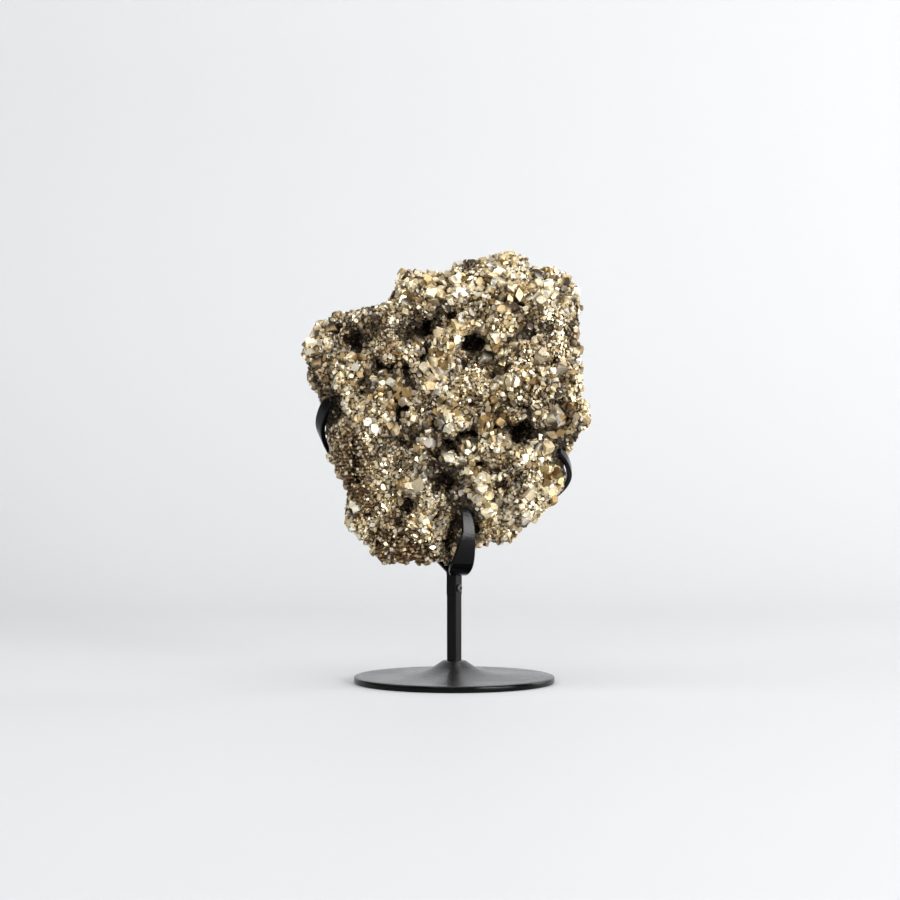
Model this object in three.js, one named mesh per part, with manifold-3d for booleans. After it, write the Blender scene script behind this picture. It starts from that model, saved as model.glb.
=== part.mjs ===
// A pyrite cluster held upright on a small steel display stand.
// Millimetres, +Z up, the front of the specimen faces -Y, origin at the centre of the stand's underside.
import * as THREE from "three";
import { ImprovedNoise } from "three/addons/math/ImprovedNoise.js";
import Module from "manifold-3d";

const wasm = await Module();
wasm.setup();

// Stand
const CLEARANCE = 0.3;
const BASE_RADIUS = 55;
const RIM_HEIGHT = 3.6;
const HUB_RADIUS = 6.5;
const HUB_HEIGHT = 12.2;
const BAR_SIDE = 6;
const BAR_TURN = THREE.MathUtils.degToRad(-27.5);
const HEAD_BOTTOM = 48;
const HEAD_TOP = 61.5;
const SCREW_HEIGHT = 51.9;
const SCREW_RADIUS = 1.7;
const ARM_WIDTH = 7.3;
const ARM_THICKNESS = 2.8;

// Specimen: its outline seen from the front, going round from the left shoulder over the top
const ROCK_CENTRE = new THREE.Vector2(-4, 150);
const ROCK_OUTLINE = [
  [-85, 180], [-82, 190], [-71, 200], [-54, 207], [-37, 209], [-32, 219], [-24, 226],
  [-12, 223], [-3, 226], [6, 235], [16, 233], [34, 236], [44, 231], [58, 227], [68, 218],
  [71, 206], [70, 186], [73, 164], [70, 154], [75, 143], [70, 133], [62, 127], [62.5, 116],
  [59, 105], [48, 94], [39, 82], [30, 75], [12, 73], [1, 69], [-14, 66], [-39, 66],
  [-48, 76], [-58, 84], [-60, 98], [-66, 118], [-71, 134], [-73, 147], [-77, 156], [-83, 169],
];
const FRONT_BULGE = 25;
const BACK_BULGE = 19;

// Hollows between the crystals of the front face: x, z, half width, half height, turn in degrees, depth
const HOLLOWS = [
  [-55, 188, 9, 7, 0, 9],
  [-15, 195, 13, 6, 20, 9],
  [9, 186, 8, 7, 0, 10],
  [-34, 175, 11, 5, 0, 7],
  [-31, 149, 5, 8, 0, 6],
  [4, 133, 14, 5, 22, 8],
  [34, 138, 12, 7, -10, 9],
  [-5, 110, 8, 6, 0, 7],
  [-28, 95, 9, 5, 0, 6],
  [-4, 78, 7, 8, 0, 6],
];

// How far the corners of the angular crystal faces stand in or out
const FACET_RELIEF = 2.6;

const steelBlack = new THREE.MeshStandardMaterial({ color: 0x1b1b1c, roughness: 0.45, metalness: 0.6 });
const pyriteGold = new THREE.MeshStandardMaterial({ color: 0xb8a67a, roughness: 0.35, metalness: 0.9 });

// A closed geometry as a solid that can be joined and cut
function solidFrom(geometry) {
  const position = geometry.getAttribute("position");
  const keys = new Map();
  const points = [];
  const corner = [];
  for (let i = 0; i < position.count; i += 1) {
    const p = [position.getX(i), position.getY(i), position.getZ(i)];
    const key = p.map((value) => Math.round(value * 1000)).join(" ");
    if (!keys.has(key)) {
      keys.set(key, points.length / 3);
      points.push(...p);
    }
    corner.push(keys.get(key));
  }
  const order = geometry.index ? Array.from(geometry.index.array) : corner.map((_, i) => i);
  const faces = [];
  for (let i = 0; i < order.length; i += 3) {
    const face = [corner[order[i]], corner[order[i + 1]], corner[order[i + 2]]];
    if (new Set(face).size === 3) faces.push(...face);
  }
  return new wasm.Manifold(
    new wasm.Mesh({
      numProp: 3,
      vertProperties: new Float32Array(points),
      triVerts: new Uint32Array(faces),
    }),
  );
}

function geometryFrom(solid) {
  const mesh = solid.getMesh();
  const geometry = new THREE.BufferGeometry();
  geometry.setAttribute("position", new THREE.BufferAttribute(mesh.vertProperties, 3));
  geometry.setIndex(new THREE.BufferAttribute(mesh.triVerts, 1));
  geometry.computeVertexNormals();
  return geometry;
}

function named(name, geometry, material) {
  const mesh = new THREE.Mesh(geometry, material);
  mesh.name = name;
  return mesh;
}

// Low disc with a sharp rim that sweeps up to a flat hub under the bar
function baseGeometry() {
  const sweep = new THREE.CatmullRomCurve3(
    [
      [49, RIM_HEIGHT],
      [36, 3.85],
      [23, 5.1],
      [17, 6.4],
      [11, 8.8],
      [7.6, 11.4],
      [HUB_RADIUS, HUB_HEIGHT],
    ].map(([radius, height]) => new THREE.Vector3(radius, height, 0)),
  );
  const profile = [
    new THREE.Vector2(0, 0),
    new THREE.Vector2(BASE_RADIUS - 0.6, 0),
    new THREE.Vector2(BASE_RADIUS, 0.6),
    new THREE.Vector2(BASE_RADIUS, RIM_HEIGHT - 0.7),
    new THREE.Vector2(BASE_RADIUS - 0.7, RIM_HEIGHT),
    ...sweep.getPoints(8).map((p) => new THREE.Vector2(p.x, p.y)),
    new THREE.Vector2(0, HUB_HEIGHT),
  ];
  return new THREE.LatheGeometry(profile, 44).rotateX(Math.PI / 2);
}

// Upright square bar with softened edges
function squareBar(side, bottom, top) {
  const half = side / 2;
  const soft = 0.6;
  const outline = new THREE.Shape();
  outline.absarc(half - soft, half - soft, soft, 0, Math.PI / 2);
  outline.absarc(soft - half, half - soft, soft, Math.PI / 2, Math.PI);
  outline.absarc(soft - half, soft - half, soft, Math.PI, 1.5 * Math.PI);
  outline.absarc(half - soft, soft - half, soft, 1.5 * Math.PI, 2 * Math.PI);
  const bar = new THREE.ExtrudeGeometry(outline, { depth: top - bottom, bevelEnabled: false, curveSegments: 3 });
  return bar.translate(0, 0, bottom).rotateZ(BAR_TURN);
}

// Cylinder that lies along the outward normal of the head's right-hand face
function acrossHead(geometry, distance) {
  return geometry
    .rotateZ(-Math.PI / 2)
    .translate(distance, 0, SCREW_HEIGHT)
    .rotateZ(BAR_TURN);
}

function headGeometry() {
  const block = solidFrom(squareBar(BAR_SIDE + 0.3, HEAD_BOTTOM, HEAD_TOP));
  const hole = solidFrom(acrossHead(new THREE.CylinderGeometry(1.3, 1.3, 4, 20), 3));
  return geometryFrom(block.subtract(hole));
}

// Button head with a six-sided socket, and a short shank inside the head's hole
function setScrewGeometry() {
  const face = (BAR_SIDE + 0.3) / 2 + CLEARANCE;
  const profile = [
    [0, -1.6],
    [1, -1.6],
    [1, 0],
    [SCREW_RADIUS, 0],
    [SCREW_RADIUS, 0.5],
    [SCREW_RADIUS - 0.4, 0.95],
    [0, 1.1],
  ].map(([radius, height]) => new THREE.Vector2(radius, height));
  const button = solidFrom(acrossHead(new THREE.LatheGeometry(profile, 24), face));
  const socket = solidFrom(acrossHead(new THREE.CylinderGeometry(0.75, 0.75, 1.2, 6), face + 0.9));
  return geometryFrom(button.subtract(socket));
}

// Flat bar bent along a smooth path. Each stop is its centre followed by the way its outer face looks.
// The section is a rounded rectangle, and the free end narrows to a rounded tip.
function bentArm(stops, extra) {
  const spine = new THREE.CatmullRomCurve3(stops.map(([x, y, z]) => new THREE.Vector3(x, y, z)), false, "centripetal");
  const facing = new THREE.CatmullRomCurve3(stops.map((s) => new THREE.Vector3(s[3], s[4], s[5])));
  const length = spine.getLength();
  const tip = 13;
  const rings = Math.round(length / 3.6);
  const geometry = new THREE.CylinderGeometry(1, 1, 1, 10, rings);
  const position = geometry.getAttribute("position");
  const squared = (value) => Math.sign(value) * Math.abs(value) ** 0.42;
  for (let i = 0; i < position.count; i += 1) {
    const along = position.getY(i) + 0.5;
    const left = (1 - along) * length;
    const narrowing = left < tip ? Math.sqrt(1 - 0.9 * (1 - left / tip) ** 2.2) : 1;
    const across = squared(position.getX(i)) * (ARM_WIDTH / 2 + extra) * narrowing;
    const out = squared(position.getZ(i)) * (ARM_THICKNESS / 2 + extra) * (0.4 + 0.6 * narrowing);
    const centre = spine.getPointAt(along);
    const tangent = spine.getTangentAt(along);
    const outward = facing.getPoint(spine.getUtoTmapping(along));
    outward.addScaledVector(tangent, -outward.dot(tangent)).normalize();
    const side = new THREE.Vector3().crossVectors(tangent, outward);
    centre.addScaledVector(side, across).addScaledVector(outward, out);
    position.setXYZ(i, centre.x, centre.y, centre.z);
  }
  const solid = solidFrom(geometry);
  if (solid.volume() > 0) return solid;
  geometry.index.array.reverse();
  return solidFrom(geometry);
}

// Centre x, y, z and outer face direction x, y, z, from the head to the tip
const FRONT_ARM = [
  [-0.9, 3, 60.4, 0, 0, -1],
  [1.8, -5.6, 60.4, 0, 0, -1],
  [4.4, -13.4, 61.4, 0.1, -0.35, -0.9],
  [6.7, -20, 66, 0.25, -0.75, -0.6],
  [7.6, -23, 74, 0.3, -0.95, -0.1],
  [7.6, -23.2, 83, 0.3, -0.95, 0],
  [6.9, -21.4, 96, 0.3, -0.93, 0.15],
];
const LEFT_ARM = [
  [-0.6, 1.8, 61.6, 0, 1, 0],
  [-6, 2.6, 67.4, -0.2, 1, 0],
  [-28, 9, 89, -0.3, 1, -0.1],
  [-50, 15, 108.5, -0.4, 1, -0.2],
  [-61.5, 14, 119.5, -0.8, 0.7, -0.3],
  [-70, 7.5, 129.5, -1, -0.2, -0.1],
  [-73.2, -3, 139.5, -0.8, -0.6, 0],
  [-70.8, -12, 149, -0.65, -0.75, 0.1],
  [-66.4, -18, 156, -0.55, -0.8, 0.2],
];
const RIGHT_ARM = [
  [0.6, 5.4, 61, 0, 1, 0],
  [4, 6, 68.5, 0, 1, 0],
  [12, 7.5, 79, 0.1, 1, 0],
  [29, 10.5, 91, 0.3, 1, -0.1],
  [46, 13, 99.5, 0.4, 1, -0.2],
  [57.5, 10, 106, 0.9, 0.5, -0.3],
  [62.8, 1, 114, 1, -0.1, 0.1],
  [61.2, -8, 121.5, 0.95, -0.25, 0.3],
  [56.8, -14, 127.6, 0.8, -0.5, 0.45],
];

// Distance from the middle of the specimen to its outline, in the direction of an angle
function outlineReach() {
  const corners = ROCK_OUTLINE.map(([x, z]) => new THREE.Vector2(x, z).sub(ROCK_CENTRE));
  const curve = new THREE.SplineCurve([...corners, corners[0]]);
  const steps = 900;
  const reach = curve.getPoints(steps).map((p) => [p.angle(), p.length()]);
  reach.sort((a, b) => a[0] - b[0]);
  return (angle) => {
    const turned = (angle + 4 * Math.PI) % (2 * Math.PI);
    const after = reach.findIndex((entry) => entry[0] >= turned);
    const upper = reach[Math.max(after, 0)];
    const lower = reach[(Math.max(after, 0) + reach.length - 1) % reach.length];
    const gap = upper[0] - lower[0];
    const share = gap > 0 ? (turned - lower[0]) / gap : 0;
    return THREE.MathUtils.lerp(lower[1], upper[1], share);
  };
}

function hollowDepth(x, z) {
  let depth = 0;
  for (const [cx, cz, wide, high, turn, deep] of HOLLOWS) {
    const angle = THREE.MathUtils.degToRad(turn);
    const along = (x - cx) * Math.cos(angle) + (z - cz) * Math.sin(angle);
    const over = (z - cz) * Math.cos(angle) - (x - cx) * Math.sin(angle);
    depth += deep * Math.exp(-((along / wide) ** 2) - (over / high) ** 2);
  }
  return depth;
}

// Lumpy slab that leans back a little, thin at the foot, where the stand's front finger holds it.
// Its facets are crystal faces, so each corner is pushed in or out by a different amount.
function matrixGeometry() {
  const geometry = new THREE.IcosahedronGeometry(1, 16).rotateX(0.3).rotateY(0.2);
  const position = geometry.getAttribute("position");
  const reach = outlineReach();
  const noise = new ImprovedNoise();
  for (let i = 0; i < position.count; i += 1) {
    const nx = position.getX(i);
    const ny = position.getY(i);
    const nz = position.getZ(i);
    const polar = Math.asin(Math.min(1, Math.hypot(nx, nz)));
    const spread = 0.65 * Math.sin(polar) + 0.35 * (polar / (Math.PI / 2));
    const facet = noise.noise(nx * 29 + 3, ny * 29, nz * 29);
    const radius = reach(Math.atan2(nz, nx)) * spread + 0.7 * FACET_RELIEF * facet;
    const length = Math.hypot(nx, nz) || 1;
    const x = ROCK_CENTRE.x + (radius * nx) / length;
    const z = ROCK_CENTRE.y + (radius * nz) / length;
    const foot = THREE.MathUtils.smoothstep(z, 60, 140);
    const rise = Math.max(0, 1 - spread ** 2.6) ** (1 / 2.6);
    const lumps =
      5 * noise.noise(x / 26, ny * 2, z / 26) +
      4 * noise.noise(x / 11, ny * 2 + 9, z / 11) +
      FACET_RELIEF * noise.noise(nx * 31, ny * 31 + 7, nz * 31);
    const middle = -9 + 0.12 * (z - 66);
    let y = middle;
    if (ny < 0) y -= rise * (THREE.MathUtils.lerp(13, FRONT_BULGE, foot) + lumps - hollowDepth(x, z));
    else y += rise * (THREE.MathUtils.lerp(9, BACK_BULGE, foot) + lumps);
    position.setXYZ(i, x, y, z);
  }
  return geometry;
}

function clusterGeometry() {
  let rock = solidFrom(matrixGeometry());
  for (const stops of [FRONT_ARM, LEFT_ARM, RIGHT_ARM]) rock = rock.subtract(bentArm(stops, CLEARANCE));
  const bodies = rock.decompose().sort((a, b) => b.volume() - a.volume());
  return geometryFrom(bodies[0]);
}

function armGeometry(stops) {
  const head = solidFrom(squareBar(BAR_SIDE + 0.3 + 2 * CLEARANCE, HEAD_BOTTOM, HEAD_TOP + CLEARANCE));
  const bodies = bentArm(stops, 0).subtract(head).decompose();
  bodies.sort((a, b) => b.volume() - a.volume());
  return geometryFrom(bodies[0]);
}

const group = new THREE.Group();
group.add(
  named("base", baseGeometry(), steelBlack),
  named("stem", squareBar(BAR_SIDE, HUB_HEIGHT + CLEARANCE, HEAD_BOTTOM - CLEARANCE), steelBlack),
  named("head", headGeometry(), steelBlack),
  named("set_screw", setScrewGeometry(), steelBlack),
  named("front_arm", armGeometry(FRONT_ARM), steelBlack),
  named("left_arm", armGeometry(LEFT_ARM), steelBlack),
  named("right_arm", armGeometry(RIGHT_ARM), steelBlack),
  named("pyrite_cluster", clusterGeometry(), pyriteGold),
);

export default group;
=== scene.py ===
"""Pyrite specimen on a black steel display stand: crystals, stand, floor, light and camera."""

import math
import random

import bmesh
import bpy
import numpy as np
from mathutils import Euler, Matrix, Vector, noise
from mathutils.bvhtree import BVHTree
from mathutils.kdtree import KDTree


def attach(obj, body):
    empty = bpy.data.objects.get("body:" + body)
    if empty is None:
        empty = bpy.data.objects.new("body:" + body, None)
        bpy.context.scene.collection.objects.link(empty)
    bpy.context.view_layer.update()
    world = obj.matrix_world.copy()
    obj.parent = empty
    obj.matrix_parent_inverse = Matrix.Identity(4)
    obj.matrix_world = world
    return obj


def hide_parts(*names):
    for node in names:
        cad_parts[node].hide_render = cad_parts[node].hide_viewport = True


MM = 0.001

# Without a seed of its own the vector noise comes out differently on every run
noise.seed_set(7)

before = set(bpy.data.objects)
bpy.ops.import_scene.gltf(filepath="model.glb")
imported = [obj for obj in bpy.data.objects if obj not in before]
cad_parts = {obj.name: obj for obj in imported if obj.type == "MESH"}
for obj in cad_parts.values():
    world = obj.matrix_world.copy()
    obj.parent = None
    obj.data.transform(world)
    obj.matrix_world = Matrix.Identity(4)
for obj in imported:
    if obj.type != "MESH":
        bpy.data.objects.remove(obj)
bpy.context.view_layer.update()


# ---------------------------------------------------------------- small helpers


def finished(bm, name, material, smooth=False):
    """Turns a bmesh into a piece that rides on the stand."""
    mesh = bpy.data.meshes.new(name)
    bm.to_mesh(mesh)
    bm.free()
    piece = bpy.data.objects.new(name, mesh)
    bpy.context.scene.collection.objects.link(piece)
    mesh.materials.append(material)
    mesh.polygons.foreach_set("use_smooth", [smooth] * len(mesh.polygons))
    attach(piece, "root")
    return piece


def applied(piece):
    """The mesh of a piece with its modifiers worked in."""
    shaped = piece.evaluated_get(bpy.context.evaluated_depsgraph_get())
    return bpy.data.meshes.new_from_object(shaped)


def flat_faced(piece):
    """Shades the wide faces of a bar flat and only its narrow rounded edges round."""
    piece.modifiers.new("flat faces", "WEIGHTED_NORMAL")
    shaded = applied(piece)
    piece.modifiers.clear()
    piece.data = shaded


def smoothstep(low, high, value):
    share = np.clip((value - low) / (high - low), 0.0, 1.0)
    return share * share * (3 - 2 * share)


def blend_number(a, b, share):
    return a + (b - a) * share


# ---------------------------------------------------------------- shader tools


class Sheet:
    """A material or a node group being laid out."""

    def __init__(self, tree):
        self.tree = tree

    def add(self, kind, **values):
        node = self.tree.nodes.new(kind)
        for key, value in values.items():
            setattr(node, key, value)
        return node

    def join(self, source, target):
        self.tree.links.new(source, target)

    def ramp(self, factor, stops):
        node = self.add("ShaderNodeValToRGB")
        ramp = node.color_ramp
        while len(ramp.elements) < len(stops):
            ramp.elements.new(0.5)
        for element, (place, colour) in zip(ramp.elements, stops):
            element.position = place
            element.color = (*colour, 1.0)
        self.join(factor, node.inputs["Fac"])
        return node.outputs["Color"]

    def mix(self, factor, first, second):
        """Two colours mixed by a factor; each colour is a socket or a plain red, green and blue."""
        node = self.add("ShaderNodeMix", data_type="RGBA")
        self.join(factor, node.inputs[0])
        # Inputs 6 and 7 are the colours, and output 2 is the mixed colour
        for socket, value in ((node.inputs[6], first), (node.inputs[7], second)):
            if isinstance(value, bpy.types.NodeSocket):
                self.join(value, socket)
            else:
                socket.default_value = (*value, 1.0)
        return node.outputs[2]

    def sums(self, operation, first, second):
        node = self.add("ShaderNodeMath", operation=operation)
        for socket, value in zip(node.inputs, (first, second)):
            if isinstance(value, bpy.types.NodeSocket):
                self.join(value, socket)
            else:
                socket.default_value = value
        return node.outputs[0]

    def span(self, value, low, high, new_low, new_high):
        """The value carried from one range to another and held at its ends."""
        node = self.add("ShaderNodeMapRange")
        self.join(value, node.inputs["Value"])
        node.inputs["From Min"].default_value = low
        node.inputs["From Max"].default_value = high
        node.inputs["To Min"].default_value = new_low
        node.inputs["To Max"].default_value = new_high
        return node.outputs["Result"]

    def noise(self, place, scale, detail, roughness=0.5):
        node = self.add("ShaderNodeTexNoise")
        node.inputs["Scale"].default_value = scale
        node.inputs["Detail"].default_value = detail
        node.inputs["Roughness"].default_value = roughness
        self.join(place, node.inputs["Vector"])
        return node.outputs["Fac"]

    def cells(self, place, scale):
        """A random colour for each small cell."""
        node = self.add("ShaderNodeTexVoronoi")
        node.inputs["Scale"].default_value = scale
        self.join(place, node.inputs["Vector"])
        return node.outputs["Color"]

    def growth_lines(self, place, spacing):
        """Thin wavering lines that run level across the surface, from 0 to 1."""
        node = self.add("ShaderNodeTexWave", wave_type="BANDS", bands_direction="Z")
        node.inputs["Scale"].default_value = math.pi / (10 * spacing)
        node.inputs["Distortion"].default_value = 9
        node.inputs["Detail"].default_value = 3
        node.inputs["Detail Scale"].default_value = 0.35
        self.join(place, node.inputs["Vector"])
        return node.outputs["Fac"]

    def lean(self, facing, colour, strength):
        """A normal leant by a colour, whose middle grey leaves it as it is."""
        centred = self.add("ShaderNodeVectorMath", operation="SUBTRACT")
        self.join(colour, centred.inputs[0])
        centred.inputs[1].default_value = (0.5, 0.5, 0.5)
        turned = self.add("ShaderNodeVectorMath", operation="SCALE")
        self.join(centred.outputs["Vector"], turned.inputs[0])
        self.join(strength, turned.inputs["Scale"])
        leant = self.add("ShaderNodeVectorMath", operation="ADD")
        self.join(facing, leant.inputs[0])
        self.join(turned.outputs["Vector"], leant.inputs[1])
        return leant.outputs["Vector"]

    def bump(self, height, strength, distance):
        node = self.add("ShaderNodeBump")
        node.inputs["Strength"].default_value = strength
        node.inputs["Distance"].default_value = distance
        self.join(height, node.inputs["Height"])
        return node.outputs["Normal"]


def new_material(name):
    material = bpy.data.materials.new(name)
    material.use_nodes = True
    sheet = Sheet(material.node_tree)
    shader = material.node_tree.nodes["Principled BSDF"]
    return material, sheet, shader


def new_group(name, inputs, outputs):
    """A node group with its sockets: each entry is (name, socket type)."""
    tree = bpy.data.node_groups.new(name, "ShaderNodeTree")
    for label, kind in inputs:
        tree.interface.new_socket(name=label, in_out="INPUT", socket_type=kind)
    for label, kind in outputs:
        tree.interface.new_socket(name=label, in_out="OUTPUT", socket_type=kind)
    sheet = Sheet(tree)
    return tree, sheet, sheet.add("NodeGroupInput"), sheet.add("NodeGroupOutput")


def placed_group(sheet, group, **values):
    node = sheet.add("ShaderNodeGroup", node_tree=group)
    for label, value in values.items():
        socket = node.inputs[label.replace("_", " ")]
        if isinstance(value, bpy.types.NodeSocket):
            sheet.join(value, socket)
        else:
            socket.default_value = value
    return node.outputs


def tarnish_and_shade_group():
    """Iron staining, brown in the stained patches and drifting over the rest; painted shade, black in the
    depths; and the lighter cleaner patches, partly painted highlight.
    """
    tree, sheet, given, made = new_group(
        "iron tarnish",
        [("Place", "NodeSocketVector"), ("Depth", "NodeSocketFloat"), ("Stain", "NodeSocketFloat")],
        [
            ("Brown", "NodeSocketFloat"), ("Bright", "NodeSocketFloat"), ("Dark", "NodeSocketFloat"),
            ("Grit", "NodeSocketFloat"),
        ],
    )
    drift = sheet.noise(given.outputs["Place"], 60, 4, 0.65)
    patches = sheet.span(drift, 0.52, 0.72, 0, 0.75)
    broken = sheet.span(drift, 0.34, 0.52, 0.45, 1)
    stained = sheet.sums("MULTIPLY", given.outputs["Stain"], broken)
    # Brown from the depth: rust in the hollows and creases, and painted shade beside the arms and at the
    # crystals' feet, where the depth is painted shade
    creased = sheet.sums("MULTIPLY", given.outputs["Depth"], 0.7)
    total = sheet.sums("MAXIMUM", sheet.sums("MAXIMUM", patches, stained), creased)
    clean_and_lit = sheet.span(given.outputs["Stain"], -0.8, -0.05, 0.25, 1)
    sheet.join(sheet.sums("MULTIPLY", sheet.sums("MINIMUM", total, 1.0), clean_and_lit), made.inputs["Brown"])
    # The cleaner patches are lighter: partly a cleaner surface, partly painted highlight
    sheet.join(sheet.span(given.outputs["Stain"], -1, -0.1, 0.8, 0), made.inputs["Bright"])
    # Painted shade: the surface goes black where the depth is great, in the hollows and creases, beside the
    # arms and at the crystals' feet
    dark = sheet.span(given.outputs["Depth"], 0.4, 0.95, 0, 0.92)
    sheet.join(sheet.sums("MULTIPLY", dark, clean_and_lit), made.inputs["Dark"])
    sheet.join(sheet.noise(given.outputs["Place"], 1500, 3, 0.7), made.inputs["Grit"])
    return tree


def druse_group():
    """Sub-millimetre crystal grains: each grain turns the surface its own way."""
    tree, sheet, given, made = new_group(
        "fine druse",
        [("Place", "NodeSocketVector"), ("Strength", "NodeSocketFloat"), ("Waves", "NodeSocketFloat")],
        [("Facing", "NodeSocketVector"), ("Grain", "NodeSocketFloat")],
    )
    leant = sheet.add("ShaderNodeNewGeometry").outputs["Normal"]
    cells = sheet.cells(given.outputs["Place"], 950)
    leant = sheet.lean(leant, cells, given.outputs["Strength"])
    leant = sheet.lean(leant, sheet.cells(given.outputs["Place"], 330), given.outputs["Waves"])
    unit = sheet.add("ShaderNodeVectorMath", operation="NORMALIZE")
    sheet.join(leant, unit.inputs[0])
    sheet.join(unit.outputs["Vector"], made.inputs["Facing"])
    grain = sheet.add("ShaderNodeSeparateColor")
    sheet.join(cells, grain.inputs["Color"])
    sheet.join(grain.outputs["Green"], made.inputs["Grain"])
    return tree


def coating_group():
    """Fine texture, dust and rubbed patches of a baked satin coating."""
    tree, sheet, given, made = new_group(
        "satin coating",
        [("Place", "NodeSocketVector"), ("Rub", "NodeSocketFloat")],
        [("Peel", "NodeSocketFloat"), ("Rubbed", "NodeSocketFloat"), ("Cloud", "NodeSocketFloat")],
    )
    sheet.join(sheet.noise(given.outputs["Place"], 1300, 2, 0.5), made.inputs["Peel"])
    worn = sheet.span(sheet.noise(given.outputs["Place"], 90, 6, 0.7), 0.5, 0.8, 0, 1)
    sheet.join(sheet.sums("MULTIPLY", worn, given.outputs["Rub"]), made.inputs["Rubbed"])
    sheet.join(sheet.noise(given.outputs["Place"], 22, 5, 0.6), made.inputs["Cloud"])
    return tree


def tarnish_and_shade_at(sheet, tarnish_and_shade, place):
    """The rust, painted shade and lighter patches of a surface, from the depth and the stain that are kept
    on it.
    """
    depth = sheet.add("ShaderNodeAttribute", attribute_name="depth").outputs["Fac"]
    stain = sheet.add("ShaderNodeAttribute", attribute_name="stain").outputs["Fac"]
    return placed_group(sheet, tarnish_and_shade, Place=place, Depth=depth, Stain=stain)


def crystal_colour(sheet, island, chance, stain_and_shade, share):
    """Colour of the crystal faces: a brass tone for each, then rust, specks and the painted shade of the
    depths.
    """
    tone = sheet.ramp(
        island,
        [
            (0.0, (0.22, 0.14, 0.055)),
            (0.12, (0.52, 0.39, 0.19)),
            (0.3, (0.80, 0.67, 0.42)),
            (0.6, (0.93, 0.83, 0.59)),
            (0.85, (0.98, 0.92, 0.73)),
            (1.0, (1.0, 0.98, 0.90)),
        ],
    )
    rust = sheet.ramp(
        chance,
        [
            (0.0, (0.06, 0.028, 0.010)),
            (0.6, (0.18, 0.088, 0.032)),
            (1.0, (0.50, 0.31, 0.13)),
        ],
    )
    # Bright mixes the cleaner patches towards pale cream: partly a cleaner surface, partly painted
    # highlight
    browned = sheet.mix(share, sheet.mix(stain_and_shade["Bright"], tone, (0.97, 0.92, 0.78)), rust)
    specks = sheet.span(stain_and_shade["Grit"], 0.33, 0.45, 0.6, 0)
    specked = sheet.mix(specks, browned, (0.10, 0.065, 0.03))
    # Painted shade: black where the depth is great, with a few crystals darkened only a third as much
    shaded = sheet.sums("MULTIPLY", stain_and_shade["Dark"], sheet.span(chance, 0.8, 0.88, 1, 0.35))
    return sheet.mix(shaded, specked, (0.030, 0.019, 0.011))


def crystal_material(tarnish_and_shade, druse):
    """Bright crystal faces: pale brass, each crystal with its own tone, polish and rust, with painted shade
    in the depths.
    """
    material, sheet, shader = new_material("pyrite crystal faces")
    place = sheet.add("ShaderNodeTexCoord").outputs["Object"]
    island = sheet.add("ShaderNodeNewGeometry").outputs["Random Per Island"]
    other = sheet.add("ShaderNodeTexWhiteNoise", noise_dimensions="1D")
    sheet.join(island, other.inputs["W"])
    chance = other.outputs["Value"]
    stain_and_shade = tarnish_and_shade_at(sheet, tarnish_and_shade, place)
    share = sheet.sums("MULTIPLY", stain_and_shade["Brown"], sheet.span(chance, 0, 1, 1.0, 0.55))
    sheet.join(crystal_colour(sheet, island, chance, stain_and_shade, share), shader.inputs["Base Color"])
    polish = sheet.span(chance, 0, 1, 0.22, 0.6)
    frosted = sheet.sums("MULTIPLY", stain_and_shade["Bright"], 0.25)
    dulled = sheet.sums("ADD", sheet.sums("ADD", polish, frosted), sheet.sums("MULTIPLY", share, 0.25))
    sheet.join(dulled, shader.inputs["Roughness"])
    metal = sheet.span(share, 0.3, 1, 1, 0.45)
    chalky = sheet.sums("MULTIPLY", stain_and_shade["Bright"], 0.4)
    sheet.join(sheet.sums("SUBTRACT", metal, chalky), shader.inputs["Metallic"])
    rough_skin = sheet.span(sheet.noise(place, 130, 3, 0.6), 0.5, 0.65, 0.08, 0.4)
    grains = placed_group(sheet, druse, Place=place, Strength=rough_skin, Waves=0.28)
    sheet.join(grains["Facing"], shader.inputs["Normal"])
    return material


def matrix_material(tarnish_and_shade, druse):
    """The dark ground of tiny grains that the crystals grow from."""
    material, sheet, shader = new_material("pyrite ground")
    place = sheet.add("ShaderNodeTexCoord").outputs["Object"]
    stain_and_shade = tarnish_and_shade_at(sheet, tarnish_and_shade, place)
    grains = placed_group(sheet, druse, Place=place, Strength=0.9, Waves=0.4)
    ground = sheet.ramp(
        grains["Grain"], [(0.1, (0.07, 0.045, 0.022)), (0.5, (0.30, 0.21, 0.11)), (0.9, (0.66, 0.54, 0.35))]
    )
    browned = sheet.mix(stain_and_shade["Brown"], ground, (0.16, 0.085, 0.034))
    lines = sheet.span(sheet.growth_lines(place, 0.0021), 0.25, 0.75, 0.8, 0)
    lined = sheet.mix(lines, browned, (0.035, 0.019, 0.009))
    # Painted shade: the ground goes near black where the depth is great
    sheet.join(sheet.mix(stain_and_shade["Dark"], lined, (0.018, 0.012, 0.008)), shader.inputs["Base Color"])
    sheet.join(sheet.span(stain_and_shade["Grit"], 0.3, 0.7, 0.25, 0.6), shader.inputs["Roughness"])
    sheet.join(sheet.span(stain_and_shade["Dark"], 0, 1, 0.85, 0.2), shader.inputs["Metallic"])
    sheet.join(grains["Facing"], shader.inputs["Normal"])
    return material


def black_material(coating, name, tint, polish, rub, shine):
    """Black satin coating on steel; polish is its roughness and shine is how strongly it reflects."""
    material, sheet, shader = new_material(name)
    place = sheet.add("ShaderNodeTexCoord").outputs["Object"]
    coat = placed_group(sheet, coating, Place=place, Rub=rub)
    clouded = sheet.mix(coat["Cloud"], tint, tuple(1.9 * channel for channel in tint))
    sheet.join(sheet.mix(coat["Rubbed"], clouded, (0.09, 0.085, 0.08)), shader.inputs["Base Color"])
    gloss = sheet.span(coat["Cloud"], 0.3, 0.7, polish - 0.06, polish + 0.08)
    sheet.join(gloss, shader.inputs["Roughness"])
    shader.inputs["Specular IOR Level"].default_value = shine
    sheet.join(sheet.bump(coat["Peel"], 0.22, 0.0002), shader.inputs["Normal"])
    return material


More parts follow.
